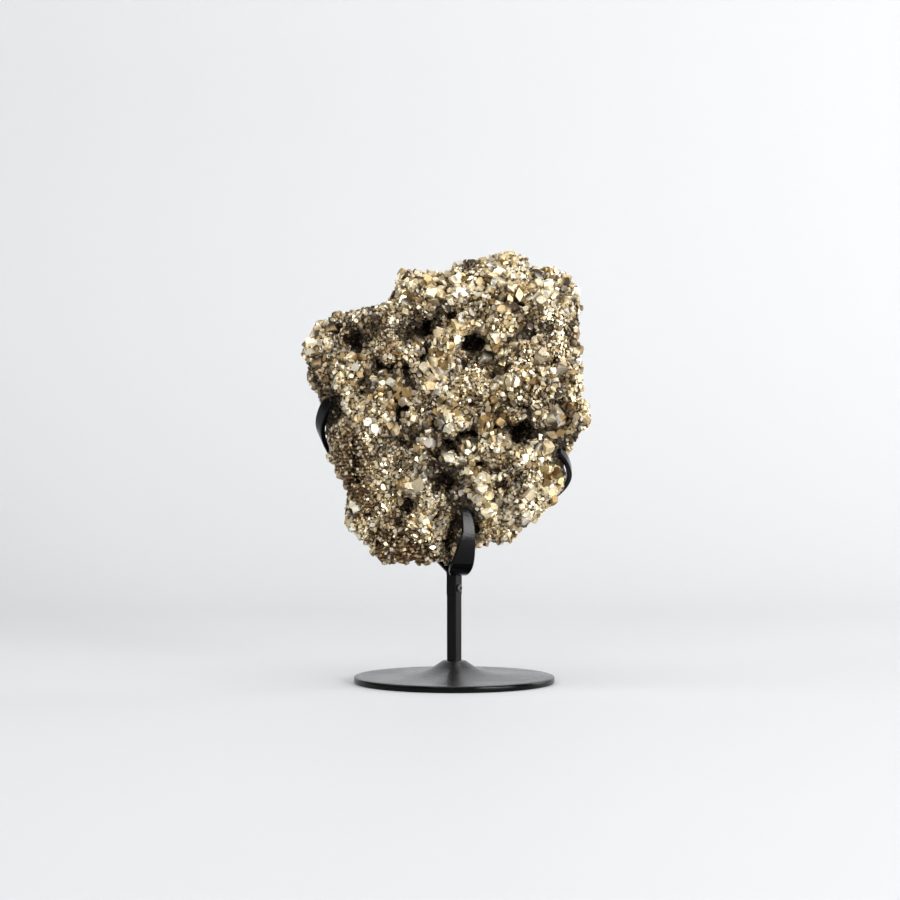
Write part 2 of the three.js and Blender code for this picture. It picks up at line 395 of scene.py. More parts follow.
# ---------------------------------------------------------------- bent arms

# Width and thickness of the flat bar, length of its rounded tip and of each straight step, in millimetres
ARM_WIDTH = 7.3
ARM_THICKNESS = 2.8
ARM_TIP = 13
ARM_STEP = 1.6

# Into how many short pieces a path is cut to measure its length
PATH_PIECES = 400

# How much of its belly an arm has at each distance from its tip in millimetres
BELLY_RUN = (14, 21, 28, 33, 38, 44, 52)
BELLY_SHARE = (0, 0.45, 0.8, 1, 0.9, 0.45, 0)

# Centre x, y, z in millimetres and the direction of the outer face, from the head to the tip
FRONT_ARM = [
    (-0.9, 3, 60.4, 0, 0, -1),
    (1.8, -5.6, 60.4, 0, 0, -1),
    (4.4, -13.4, 61.4, 0.1, -0.35, -0.9),
    (6.7, -20, 66, 0.25, -0.75, -0.6),
    (7.6, -23, 74, 0.3, -0.95, -0.1),
    (7.6, -23.2, 83, 0.3, -0.95, 0),
    (6.9, -21.2, 97.4, 0.3, -0.93, 0.15),
]
LEFT_ARM = [
    (-0.6, 1.8, 61.6, -0.2, 0.95, -0.1),
    (-6, 2.6, 67.4, -0.32, 0.94, -0.15),
    (-28, 9, 89, -0.3, 1, -0.1),
    (-50, 15, 108.5, -0.4, 1, -0.2),
    (-61.5, 14, 119.5, -0.8, 0.7, -0.3),
    (-70, 7.5, 129.5, -1, -0.2, -0.1),
    (-73.2, -3, 139.5, -0.8, -0.6, 0),
    (-70.8, -12, 149, -0.65, -0.75, 0.1),
    (-66.4, -18, 156, -0.55, -0.8, 0.2),
]
RIGHT_ARM = [
    (0.6, 5.4, 61, 0, 1, 0),
    (4, 6, 68.5, 0, 1, 0),
    (12, 7.5, 79, 0.1, 1, 0),
    (29, 10.5, 91, 0.3, 1, -0.1),
    (46, 13, 99.5, 0.4, 1, -0.2),
    (57.5, 10, 106, 0.9, 0.5, -0.3),
    (62.8, 1, 114, 1, -0.1, 0.1),
    (61.2, -8, 121.5, 0.95, -0.25, 0.3),
    (56.8, -14, 127.6, 0.8, -0.5, 0.45),
]


def spline_point(stops, place):
    """Smooth curve through the stops; place runs from 0 to the number of the last stop."""
    last = len(stops) - 1
    at = min(int(place), last - 1)
    share = place - at
    rows = [Vector(stops[min(max(at + step, 0), last)]) for step in (-1, 0, 1, 2)]
    if at == 0:
        rows[0] = 2 * rows[1] - rows[2]
    if at == last - 1:
        rows[3] = 2 * rows[2] - rows[1]
    before, start, end, after = rows
    bend = 2 * before - 5 * start + 4 * end - after
    twist = 3 * start - before - 3 * end + after
    return 0.5 * (2 * start + (end - before) * share + bend * share**2 + twist * share**3)


def arm_frames(stops, count):
    """Evenly spaced centre, across, outward and distance to the tip along an arm."""
    centres = [tuple(stop[:3]) for stop in stops]
    facings = [tuple(stop[3:]) for stop in stops]
    fine = [i * (len(stops) - 1) / PATH_PIECES for i in range(PATH_PIECES + 1)]
    points = [spline_point(centres, place) for place in fine]
    run = [0.0]
    for start, end in zip(points, points[1:]):
        run.append(run[-1] + (end - start).length)
    frames = []
    for step in range(count + 1):
        reach = run[-1] * step / count
        place = float(np.interp(reach, run, fine))
        behind = spline_point(centres, max(place - 0.01, 0))
        ahead = spline_point(centres, min(place + 0.01, fine[-1]))
        tangent = (ahead - behind).normalized()
        outward = spline_point(facings, place)
        outward = (outward - tangent * outward.dot(tangent)).normalized()
        frames.append((spline_point(centres, place), tangent.cross(outward), outward, run[-1] - reach))
    return frames


def rounded(bm, edges, offset, segments):
    """Rounds edges; the offset is how far from the edge the rounding starts."""
    bmesh.ops.bevel(
        bm, geom=edges, offset=offset, offset_type="OFFSET", segments=segments, profile=0.5, affect="EDGES",
        material=-1,
    )


def upright_edges(bm):
    """The edges of a bar one unit high that run its whole height."""
    return [edge for edge in bm.edges if abs(edge.verts[0].co.z - edge.verts[1].co.z) > 0.5]


def bent_arm(name, stops, material, node, tip_side=0.0, belly=0.0):
    """Straight flat bar with softened edges, then bent to its path and drawn out to a rounded tip.

    tip_side runs from -1 to 1 and moves the tip to one edge of the bar. belly is how many
    millimetres the bar is wider at its bend, on the side of its first edge.
    """
    bm = bmesh.new()
    bmesh.ops.create_cube(bm, size=1.0, matrix=Matrix.Diagonal((ARM_WIDTH, ARM_THICKNESS, 1, 1)))
    rounded(bm, upright_edges(bm), 0.75, 3)
    length = sum((Vector(end[:3]) - Vector(start[:3])).length for start, end in zip(stops, stops[1:]))
    steps = round(length / ARM_STEP)
    bmesh.ops.subdivide_edges(bm, edges=upright_edges(bm), cuts=steps - 1, use_grid_fill=True)
    frames = arm_frames(stops, steps)
    pivot = tip_side * ARM_WIDTH / 2
    for vert in bm.verts:
        centre, across, outward, left = frames[round((vert.co.z + 0.5) * steps)]
        narrowing = math.sqrt(1 - 0.96 * (1 - left / ARM_TIP) ** 2) if left < ARM_TIP else 1.0
        wide = pivot + (vert.co.x - pivot) * narrowing
        if vert.co.x < 0:
            wide -= belly * float(np.interp(left, BELLY_RUN, BELLY_SHARE))
        thick = vert.co.y * (0.4 + 0.6 * narrowing)
        vert.co = (centre + across * wide + outward * thick) * MM
    # Across, outward and the path make a left-handed frame, so the bar comes out inside out
    bmesh.ops.reverse_faces(bm, faces=bm.faces[:])
    piece = finished(bm, name, material, smooth=True)
    flat_faced(piece)
    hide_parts(node)
    return piece


# ---------------------------------------------------------------- upright and base

BAR_TURN = math.radians(-34)

# The screw's radius, height and reach of its socket's corners in millimetres, and its seat on the head
# before the bar is turned
SCREW_RADIUS = 2.05
SCREW_HEIGHT = 1.1
SOCKET_REACH = 0.95
SCREW_SEAT = (3.1, 0, 51.9)

# Profile of the base from the middle of its underside to the top of its hub: radius, height in millimetres
BASE_OUTLINE = [
    (0, 0), (30, 0), (54.2, 0), (54.8, 0.2), (55, 0.7), (55, 2.8), (54.8, 3.35), (54.2, 3.6),
    (50, 3.62), (44, 3.68), (36, 3.85), (29, 4.3), (23, 5.1), (17, 6.4), (13, 7.8), (10.4, 9.3),
    (8.5, 10.6), (7.0, 11.6), (6.3, 12.05), (5.7, 12.2), (3, 12.2), (0, 12.2),
]


def soft_block(bm, side, low, high, soft):
    """Upright square block from one height to another with rounded edges, turned to the bar's angle."""
    shape = Matrix.Translation((0, 0, (low + high) / 2)) @ Matrix.Diagonal((side, side, high - low, 1))
    bmesh.ops.create_cube(bm, size=1.0, matrix=Matrix.Rotation(BAR_TURN, 4, "Z") @ shape)
    rounded(bm, bm.edges[:], soft, 3)


def stem(material):
    """The square bar, from inside the hub to inside the head."""
    bm = bmesh.new()
    soft_block(bm, 6.0, 12.0, 49.5, 0.45)
    bmesh.ops.scale(bm, vec=(MM, MM, MM), verts=bm.verts)
    piece = finished(bm, "square_bar", material, smooth=True)
    flat_faced(piece)
    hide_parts("stem")


def head(material):
    """The socket block at the top of the bar, which is a little wider than the bar."""
    bm = bmesh.new()
    soft_block(bm, 6.3, 47.9, 61.5, 0.5)
    bmesh.ops.scale(bm, vec=(MM, MM, MM), verts=bm.verts)
    piece = finished(bm, "socket_head", material, smooth=True)
    flat_faced(piece)
    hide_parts("head")


def top_face(bm):
    return max(bm.faces, key=lambda face: face.calc_center_median().z)


def six_sided(face, reach):
    """Draws the rim of a round face in to six sides, whose corners are the reach from the middle."""
    for vert in face.verts:
        angle = math.atan2(vert.co.y, vert.co.x)
        from_side = (angle % (math.pi / 3)) - math.pi / 6
        vert.co.xy = vert.co.xy.normalized() * reach * math.cos(math.pi / 6) / math.cos(from_side)


def set_screw(material):
    """Button head with a six-sided socket, standing out from the right-hand face of the head."""
    bm = bmesh.new()
    bmesh.ops.create_circle(bm, cap_ends=True, segments=36, radius=SCREW_RADIUS)
    top = bmesh.ops.extrude_face_region(bm, geom=bm.faces[:])
    rim = [v for v in top["geom"] if isinstance(v, bmesh.types.BMVert)]
    bmesh.ops.translate(bm, vec=(0, 0, SCREW_HEIGHT), verts=rim)
    rounded(bm, list(top_face(bm).edges), 0.45, 4)
    bmesh.ops.inset_region(bm, faces=[top_face(bm)], thickness=0.5, depth=0)
    upper = [face for face in bm.faces if face.calc_center_median().z > 0.9 * SCREW_HEIGHT]
    middle = min(upper, key=lambda face: face.calc_center_median().xy.length)
    six_sided(middle, SOCKET_REACH)
    bmesh.ops.inset_region(bm, faces=[middle], thickness=0.03, depth=-0.7)
    on_side = Matrix.Translation(SCREW_SEAT) @ Matrix.Rotation(math.pi / 2, 4, "Y")
    bmesh.ops.transform(bm, matrix=Matrix.Rotation(BAR_TURN, 4, "Z") @ on_side, verts=bm.verts)
    bmesh.ops.scale(bm, vec=(MM, MM, MM), verts=bm.verts)
    bmesh.ops.recalc_face_normals(bm, faces=bm.faces)
    piece = finished(bm, "button_screw", material)
    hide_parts("set_screw")


def base(material, shaded_rim_material):
    """Disc with a crisp rim that sweeps up to the hub, turned from one profile."""
    bm = bmesh.new()
    verts = [bm.verts.new((radius * MM, 0, height * MM)) for radius, height in BASE_OUTLINE]
    edges = [bm.edges.new(pair) for pair in zip(verts, verts[1:])]
    bmesh.ops.spin(
        bm, geom=verts + edges, cent=(0, 0, 0), axis=(0, 0, 1), angle=math.tau, steps=128, use_merge=True,
        use_duplicate=False,
    )
    bmesh.ops.remove_doubles(bm, verts=bm.verts, dist=1e-6)
    bmesh.ops.recalc_face_normals(bm, faces=bm.faces)
    piece = finished(bm, "round_base", material, smooth=True)
    piece.data.materials.append(shaded_rim_material)
    # The upright faces take the second material, the darker and less shiny black of the arms: painted shade
    # on the rim of one coating
    for face in piece.data.polygons:
        face.material_index = int(abs(face.normal.z) < 0.5)
    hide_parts("base")


# ---------------------------------------------------------------- pyrite cluster

# Deep hollows of the front: x, z, half width and half height in millimetres, turn in degrees, and depth
HOLLOWS = [
    (-56, 186, 6.5, 5, -10, 12),
    (-54, 121, 2.6, 17, 4, 6),
    (-66, 195, 3, 4, 0, 8),
    (-15, 195, 9.5, 5, 22, 15),
    (9, 187, 5.8, 5.4, 20, 14),
    (-38, 175, 6.5, 3.6, -10, 11),
    (-27, 173, 4, 5, 0, 12),
    (-17, 181, 3, 5, -20, 10),
    (-2, 202, 4, 3, 30, 8),
    (-50, 161, 4, 3, 0, 8),
    (-31, 149, 3.4, 8, -10, 12),
    (2, 134.5, 14, 4.2, 24, 16),
    (35, 138.5, 9.5, 3.8, -10, 14),
    (24, 140, 3, 5, 10, 11),
    (37, 151, 6, 4, 0, 10),
    (15, 119, 8, 3, 14, 10),
    (-5, 109, 6.4, 4.8, -12, 17),
    (-8, 127, 5, 5, 0, 5),
    (25, 108, 3.5, 3, 0, 7),
    (-26, 95.5, 5.5, 3, -8, 10),
    (55, 176, 7, 2.6, -12, 8),
    (37, 208, 4, 3, -10, 8),
    (26, 222, 3, 3, 0, 6),
    (60, 217, 4, 4, 0, 7),
    (-2.5, 76, 5.5, 11, 0, 12),
    (-9, 91, 5, 4, 0, 8),
    (-62, 148, 3, 6, 10, 7),
    (-47, 92, 7, 2, 0, 6),
]

# Tinted patches of the front: x, z, radius in millimetres, and the tint from 1 for rusty to -1 for cleaner
# and lighter, which is partly a cleaner surface and partly painted highlight
PATCHES = [
    (-24, 72, 14, 1.0),
    (-38, 75, 11, 1.0),
    (-61, 108, 11, 0.8),
    (-56, 132, 8, 0.75),
    (-34, 181, 9, 1.0),
    (-34, 92, 8, 0.9),
    (-12, 166, 8, 0.8),
    (12, 152, 10, 0.8),
    (20, 76, 14, 0.7),
    (50, 190, 11, 0.8),
    (60, 168, 8, 0.8),
    (42, 160, 9, 0.7),
    (62, 146, 9, 0.8),
    (-73, 172, 8, 0.8),
    (-3, 84, 11, 0.8),
    (-9, 116, 7, 0.5),
    (22, 183, 9, 0.5),
    (36, 97, 20, -1.0),
    (18, 112, 10, -0.8),
    (-21, 104, 15, -1.0),
    (0, 215, 15, -0.8),
    (28, 224, 15, -0.8),
    (52, 208, 14, -0.8),
    (10, 200, 10, -0.7),
    (6, 122, 13, -0.9),
    (27, 166, 8, -0.8),
    (-32, 197, 10, -0.8),
    (-72, 186, 9, -0.7),
    (-40, 165, 9, -0.6),
    (-18, 84, 7, -0.7),
    (42, 126, 9, -0.7),
]
CLEAN_LIT_PATCHES = [patch for patch in PATCHES if patch[3] < 0]

# Layered patches of the front: x, z, radius, angle across the layers in degrees, and the layers' spacing
# and height
LAYERS = [
    (-28, 71, 20, 82, 4.6, 2.3),
    (-61, 122, 20, 6, 4.2, 1.8),
    (-51, 100, 12, 22, 4.0, 1.5),
]

# Fields of fine grains, from the front right through to the back: x, z, radius in millimetres
FINE_FIELDS = [
    (-39, 124, 16),
    (-73, 177, 13),
    (68, 142, 10),
    (27, 83, 12),
]

# Where the outline is moved to meet the arms: x, z, radius, and the push along x and z in millimetres
DRAWN_IN = [
    (-70, 134, 15, 0.6, 0),
    (63, 114, 13, -0.3, 0),
    (1, 68, 10, 0, -4.5),
    (-13, 68, 9, 0, -1.6),
    (17, 72, 9, 0, 2.0),
]


# Keeps x, y and z apart in one number: more than the specimen's breadth in hundredths of a millimetre
ORDER_STEP = 100_000

# Width of the small quads of the ground in millimetres
GROUND_STEP = 1.3

# How far the ground keeps off an arm, how far it may sink behind one, and in what steps, in millimetres
ARM_GAP = 0.7
SINK_LIMIT = 6
SINK_STEP = 0.4

# Passes of crystals: how many places are tried, how close they may stand, least and greatest size
GROWTH_PASSES = ((40000, 0.64, 2.2, 5.4), (50000, 0.84, 1.4, 2.2))
BLOCK_TRIES = 5000

# Width in millimetres of the cells in which near crystals are looked up
CELL = 4

# Crystals below this size in millimetres keep their corners; the others' cuts are in percent of an edge
UNCUT_SIZE = 2.0
CORNER_CUTS = (24, 36, 44)


def warped(places):
    """Points moved about a little, so that what is laid out on them gets ragged outlines."""
    return [
        place + 3.6 * noise.noise_vector(place / 7) + 1.5 * noise.noise_vector(place / 3.1)
        for place in places
    ]


def hollow_shape(bent, y):
    """Depth of the hollows in millimetres, and the rusty rim round them, at warped points.

    y is how far back each point really is: the hollows are in the front only.
    """
    x, z = bent[:, 0], bent[:, 2]
    depth = np.zeros(len(bent))
    rim = np.zeros(len(bent))
    for cx, cz, wide, high, turn, deep in HOLLOWS:
        angle = math.radians(turn)
        along = (x - cx) * math.cos(angle) + (z - cz) * math.sin(angle)
        over = (z - cz) * math.cos(angle) - (x - cx) * math.sin(angle)
        ring = np.sqrt((along / wide) ** 2 + (over / high) ** 2)
        depth = np.maximum(depth, deep * (1 - smoothstep(0.4, 1.1, ring)))
        rim = np.maximum(rim, 0.8 * (1 - smoothstep(1.0, 1.75, ring)))
    front = smoothstep(2, -8, y)
    return depth * front, rim * front


def patch_tint(bent, y):
    """How rusty each warped point is, from 1 down to -1 for cleaner and lighter, which is partly painted
    highlight.
    """
    x, z = bent[:, 0], bent[:, 2]
    rusty = np.zeros(len(bent))
    clean_and_lit = np.zeros(len(bent))
    for cx, cz, radius, tint in PATCHES:
        share = 1 - smoothstep(0.35, 1.15, np.hypot(x - cx, z - cz) / radius)
        rusty = np.maximum(rusty, tint * share)
        clean_and_lit = np.minimum(clean_and_lit, tint * share)
    return (rusty + clean_and_lit) * smoothstep(6, -6, y)


def layer_height(bent, y):
    """Height in millimetres of the thin layers in the layered patches, and how layered each point is."""
    x, z = bent[:, 0], bent[:, 2]
    height = np.zeros(len(bent))
    share = np.zeros(len(bent))
    for cx, cz, radius, turn, spacing, high in LAYERS:
        angle = math.radians(turn)
        across = (x - cx) * math.cos(angle) + (z - cz) * math.sin(angle)
        wave = 1 - 2 * np.abs(np.sin(math.pi * across / spacing))
        inside = 1 - smoothstep(0.6, 1.1, np.hypot(x - cx, z - cz) / radius)
        height += high * wave * inside
        share = np.maximum(share, inside)
    front = smoothstep(2, -8, y)
    return height * front, share * front


def clump(place, breadth):
    """Where a place lies in its clump, from 0 at the crease to 1 inside, and the clump's own point."""
    distances, points = noise.voronoi(place / breadth)
    return min(1.0, 3.0 * (distances[1] - distances[0])) ** 0.7, points[0]


def relief(place):
    """Height in millimetres of clumps, knobs and pits over the even ground, and how creased it is."""
    inner, key = clump(place, 16)
    crease = 1 - inner
    height = inner * blend_number(1.4, 5.6, noise.cell(key))
    inner, key = clump(place + Vector((40, 90, 20)), 8.6)
    chance = noise.cell(key)
    crease = max(crease, 0.8 * (1 - inner))
    height += inner * (-2.6 if chance < 0.08 else blend_number(0.4, 3.2, chance))
    inner, key = clump(place, 4.8)
    height += inner * blend_number(-0.4, 1.6, noise.cell(key))
    return height - 3.8, crease


def order_number(spot):
    """One number for a place, to put the parts of a mesh in the same order on every run."""
    x, y, z = (round(100 * value / MM) for value in spot)
    return (ORDER_STEP * x + y) * ORDER_STEP + z


def smoothed(bm, rounds, factor):
    for _ in range(rounds):
        bmesh.ops.smooth_vert(
            bm, verts=bm.verts, factor=factor, use_axis_x=True, use_axis_y=True, use_axis_z=True
        )


def even_ground():
    """The CAD specimen as an even mesh of small quads."""
    source = bmesh.new()
    source.from_mesh(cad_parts["pyrite_cluster"].data)
    bmesh.ops.remove_doubles(source, verts=source.verts, dist=1e-6)
    rough = bpy.data.objects.new("rough", bpy.data.meshes.new("rough"))
    source.to_mesh(rough.data)
    source.free()
    bpy.context.scene.collection.objects.link(rough)
    remesh = rough.modifiers.new("even", "REMESH")
    remesh.mode = "VOXEL"
    remesh.voxel_size = GROUND_STEP * MM
    even = applied(rough)
    bpy.data.objects.remove(rough)
    bm = bmesh.new()
    bm.from_mesh(even)
    bm.verts.sort(key=lambda vert: order_number(vert.co))
    bm.edges.sort(key=lambda edge: order_number((edge.verts[0].co + edge.verts[1].co) / 2))
    bm.faces.sort(key=lambda face: order_number(face.calc_center_median()))
    smoothed(bm, 4, 0.5)
    bm.normal_update()
    return bm


def draw_in(bm):
    """Moves the ground to meet the arms."""
    for vert in bm.verts:
        for cx, cz, radius, push_x, push_z in DRAWN_IN:
            distance = math.hypot(vert.co.x / MM - cx, vert.co.z / MM - cz)
            share = MM * (1 - smoothstep(0.3, 1.0, distance / radius))
            vert.co += Vector((push_x * share, 0, push_z * share))


def arm_shadow(place, arms):
    """How much painted shadow darkens the narrow space beside the arms: over 1 right beside them, 0 far
    off.
    """
    return 1.1 * float(1 - smoothstep(2.5, 6.5, arms.find_nearest(place * MM)[3] / MM))


def cluster_ground(material, arms):
    """The ground of the specimen, with its clumps, creases, pits and deep hollows."""
    bm = even_ground()
    draw_in(bm)
    places = [v.co / MM for v in bm.verts]
    bent = warped(places)
    y = np.array([place.y for place in places])
    table = np.array([point[:] for point in bent])
    hollows, rims = hollow_shape(table, y)
    tints = patch_tint(table, y)
    layers, layering = layer_height(table, y)
    depth = bm.verts.layers.float.new("depth")
    stain = bm.verts.layers.float.new("stain")
    rows = zip(bm.verts, places, bent, hollows, rims, tints, layers, layering)
    for vert, place, point, hollow, rim, tint, layer, layered_share in rows:
        rise, crease = relief(point)
        rise = blend_number(rise, -0.5, 0.6 * layered_share) + layer
        # Painted shade: the depth, which darkens the surface, grows in the hollows, in low places, in the
        # creases and beside the arms
        sunk = max(0.0, -0.14 * (rise + 2)) + 0.35 * crease**2
        vert[depth] = min(1.0, 0.1 * hollow + sunk + arm_shadow(place, arms))
        if tint > 0:
            vert[stain] = max(tint, rim, 0.9 * crease - 0.3)
        else:
            # Below 0 the stain marks the lighter patches, partly a cleaner surface and partly painted
            # highlight
            vert[stain] = min(1.0, max(rim, 0.8 * crease) + tint)
        rise *= 0.6 + 0.4 * abs(vert.normal.y)
        vert.co += vert.normal * rise * MM + Vector((0, hollow * MM, 0))
    smoothed(bm, 1, 0.3)
    clear_of_arms(bm, arms, ARM_GAP)
    bm.normal_update()
    piece = finished(bm, "pyrite_ground", material)
    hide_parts("pyrite_cluster")
    return piece


def touches_arm(arms, spot, gap):
    """True for a spot in an arm or nearer to one than the gap in millimetres."""
    nearest, normal, _, distance = arms.find_nearest(spot)
    inside = (spot - nearest).dot(normal) < 0
    return distance < gap * MM or (inside and distance < 2 * MM)


def clear_of_arms(bm, arms, gap):
    """Sinks the ground until it keeps a small gap behind the arms that hold it."""
    bm.normal_update()
    for vert in bm.verts:
        sunk = 0
        while sunk < SINK_LIMIT and touches_arm(arms, vert.co, gap):
            vert.co -= vert.normal * SINK_STEP * MM
            sunk += SINK_STEP


def in_patch(place, patches, share=1.0):
    """True in a share of the radius of any patch; each patch starts with x, z and radius."""
    return any(math.hypot(place.x - row[0], place.z - row[1]) < share * row[2] for row in patches)


def coarseness(place):
    """How coarse the crystals grow at a place, from 0 to 1."""
    coarse = 0.7 + 0.9 * noise.noise(place / 22) + 0.6 * (noise.cell(clump(place, 12)[1]) - 0.5)
    if in_patch(place, FINE_FIELDS + LAYERS):
        coarse -= 0.5
    if in_patch(place, CLEAN_LIT_PATCHES):
        coarse += 0.3
    return min(1.0, max(0.0, coarse))


def layered(place):
    """True in the layered patches of the front, where few crystals cover the layers."""
    return place.y < 0 and in_patch(place, LAYERS, 0.8)


class Crystal:
    """One crystal: place, outward direction, size and lift in millimetres, and its depth, which sets its
    painted shade, and its stain.
    """

    def __init__(self, place, normal, size, lift, depth, stain):
        self.place = place
        self.normal = normal
        self.size = size
        self.lift = lift
        self.depth = depth
        self.stain = stain


class GroundSampler:
    """Draws random places on the ground, evenly over its surface."""

    def __init__(self, mesh):
        mesh.calc_loop_triangles()
        self.corners = np.array([t.vertices[:] for t in mesh.loop_triangles])
        self.points = np.array([v.co[:] for v in mesh.vertices]) / MM
        a, b, c = (self.points[self.corners[:, i]] for i in range(3))
        cross = np.cross(b - a, c - a)
        self.area = np.linalg.norm(cross, axis=1)
        self.normals = cross / self.area[:, None]
        self.layers = {}
        for name in ("depth", "stain"):
            values = np.zeros(len(mesh.vertices))
            mesh.attributes[name].data.foreach_get("value", values)
            self.layers[name] = values
        self.chooser = np.random.default_rng(5)

    def draw(self, count):
        """Rows of place, normal, depth and stain."""
        picks = self.chooser.choice(len(self.area), size=count, p=self.area / self.area.sum())
        mixing = np.sort(self.chooser.random((count, 2)), axis=1)
        weights = np.stack([mixing[:, 0], mixing[:, 1] - mixing[:, 0], 1 - mixing[:, 1]], axis=1)
        corners = self.corners[picks]
        spots = (self.points[corners] * weights[:, :, None]).sum(axis=1)
        depth, stain = ((self.layers[name][corners] * weights).sum(axis=1) for name in ("depth", "stain"))
        for spot, pick, deep, brown in zip(spots, picks, depth, stain):
            yield Vector(spot), Vector(self.normals[pick]), float(deep), float(brown)


def block_tree(blocks):
    """The blocks as a tree that answers which one is nearest to a place."""
    tree = KDTree(len(blocks))
    for index, block in enumerate(blocks):
        tree.insert(block.place, index)
    tree.balance()
    return tree


def in_block(tree, blocks, place):
    _, index, distance = tree.find(place)
    return distance < 0.42 * blocks[index].size


def bare_share(place, depth):
    """Which share of the crystals is left out at a place, so that the ground shows."""
    if layered(place):
        return 0.85
    return 0.6 if depth > 0.85 else 0.0


def grow_crystals(ground, arms):
    """Large blocks first, then crystals around them, then grains in what is left."""
    sampler = GroundSampler(ground.data)
    generator = random.Random(12)
    blocks = grow_blocks(sampler, generator, arms)
    tree = block_tree(blocks)
    grown = list(blocks)
    taken = {}
    for count, spacing, least, most in GROWTH_PASSES:
        for place, normal, depth, stain in sampler.draw(count):
            size = blend_number(least, most, coarseness(place)) * blend_number(0.6, 1.0, generator.random())
            if depth > 0.7 or abs(normal.y) < 0.45 or near_arm(arms, place, 7):
                size *= 0.75
            if generator.random() < bare_share(place, depth) or in_block(tree, blocks, place):
                continue
            if not free_spot(taken, place, size, spacing) or near_arm(arms, place, size):
                continue
            taken.setdefault(cell_of(place), []).append((place, size))
            lift = generator.uniform(-0.2, 0.18) * size
            grown.append(Crystal(place, normal, size, lift, depth, stain))
    return grown


def grow_blocks(sampler, generator, arms):
    """Well-spaced large blocks, half sunk in the ground, in the coarse fields."""
    blocks = []
    for place, normal, depth, stain in sampler.draw(BLOCK_TRIES):
        size = generator.uniform(4.4, 6.8)
        if coarseness(place) < 0.35 or depth > 0.4 or abs(normal.y) < 0.78:
            continue
        if layered(place) or near_arm(arms, place, size + 6):
            continue
        if any((other.place - place).length < 0.62 * (other.size + size) for other in blocks):
            continue
        blocks.append(Crystal(place, normal, size, generator.uniform(-0.48, -0.26) * size, depth, stain))
    return blocks


def near_arm(arms, place, size):
    """True where a crystal of this size would come close to an arm."""
    return arms.find_nearest(place * MM)[3] / MM < 0.62 * size + 0.8


def cell_of(place):
    return tuple(int(value // CELL) for value in place)


def free_spot(taken, place, size, spacing):
    """True where no crystal of the passes so far stands too close."""
    middle = cell_of(place)
    for dx in (-1, 0, 1):
        for dy in (-1, 0, 1):
            for dz in (-1, 0, 1):
                for other, breadth in taken.get((middle[0] + dx, middle[1] + dy, middle[2] + dz), ()):
                    if (other - place).length < spacing * (size + breadth) / 2:
                        return False
    return True


def band_of(place):
    """Which of the specimen's crystal fields a place belongs to."""
    side = "front" if place.y < -9 + 0.12 * (place.z - 66) else "back"
    if place.z < 120:
        return side + "_foot"
    return side + ("_middle" if place.z < 175 else "_crown")


def crystal_turn(place, generator):
    """Most crystals of a clump grow nearly parallel, and the rest at any angle."""
    if generator.random() < 0.3:
        return Euler([generator.uniform(0, math.tau) for _ in range(3)]).to_matrix().to_4x4()
    common = Euler(math.tau * noise.cell_vector(clump(place, 12)[1])).to_matrix()
    wobble = Euler([generator.gauss(0, 0.14) for _ in range(3)]).to_matrix()
    return (wobble @ common).to_4x4()


def crystal_shape(crystal, generator):
    """Matrix of a unit cube that makes it a leaning, stretched crystal in its place."""
    lean = Matrix.Identity(4)
    lean[0][1] = generator.uniform(-0.5, 0.5)
    lean[1][2] = generator.uniform(-0.5, 0.5)
    flatness = generator.uniform(0.35, 0.6) if generator.random() < 0.25 else generator.uniform(0.75, 1.15)
    width = generator.uniform(0.75, 1.2)
    stretch = Matrix.Diagonal((crystal.size, crystal.size * width, crystal.size * flatness, 1))
    spot = Matrix.Translation(crystal.place + crystal.normal * crystal.lift)
    return spot @ crystal_turn(crystal.place, generator) @ lean @ stretch


def crystal_batch(batch, generator, corner_cut):
    """Crystals as leaning cubes, most of their corners cut by one share."""
    bm = bmesh.new()
    depth = bm.verts.layers.float.new("depth")
    stain = bm.verts.layers.float.new("stain")
    for crystal in batch:
        made = bmesh.ops.create_cube(bm, size=1.0, matrix=crystal_shape(crystal, generator))
        for vert in made["verts"]:
            height = (vert.co - crystal.place).dot(crystal.normal) / crystal.size
            # Painted shade: each crystal darkens towards its foot, where it meets the ground, less so in
            # the cleaner patches
            foot_shade = 1.15 + 0.8 * min(0.0, crystal.stain)
            vert[depth] = crystal.depth + foot_shade * float(smoothstep(0.15, -0.3, height))
            vert[stain] = crystal.stain
    if corner_cut:
        cut = [vert for vert in bm.verts if generator.random() < 0.7]
        bmesh.ops.bevel(
            bm, geom=cut, offset=corner_cut, offset_type="PERCENT", segments=1, profile=0.5,
            affect="VERTICES", material=-1,
        )
    bmesh.ops.scale(bm, vec=(MM, MM, MM), verts=bm.verts)
    mesh = bpy.data.meshes.new("batch")
    bm.to_mesh(mesh)
    bm.free()
    return mesh


def crystal_field(name, grown, material):
    """One field of crystals, joined in one piece."""
    generator = random.Random(name)
    small = [crystal for crystal in grown if crystal.size < UNCUT_SIZE]
    large = [crystal for crystal in grown if crystal.size >= UNCUT_SIZE]
    groups = [(small[i : i + 200], 0) for i in range(0, len(small), 200)]
    groups += [(large[i : i + 100], CORNER_CUTS[(i // 100) % 3]) for i in range(0, len(large), 100)]
    bm = bmesh.new()
    for group, corner_cut in groups:
        bm.from_mesh(crystal_batch(group, generator, corner_cut))
    finished(bm, name, material)


def pyrite_cluster(arms):
    """The whole specimen: its ground and its fields of crystals."""
    tarnish_and_shade = tarnish_and_shade_group()
    druse = druse_group()
    ground = cluster_ground(matrix_material(tarnish_and_shade, druse), arms)
    faces = crystal_material(tarnish_and_shade, druse)
    fields = {}
    for crystal in grow_crystals(ground, arms):
        fields.setdefault(band_of(crystal.place), []).append(crystal)
    for name in sorted(fields):
        crystal_field("crystals_" + name, fields[name], faces)


# ---------------------------------------------------------------- surroundings


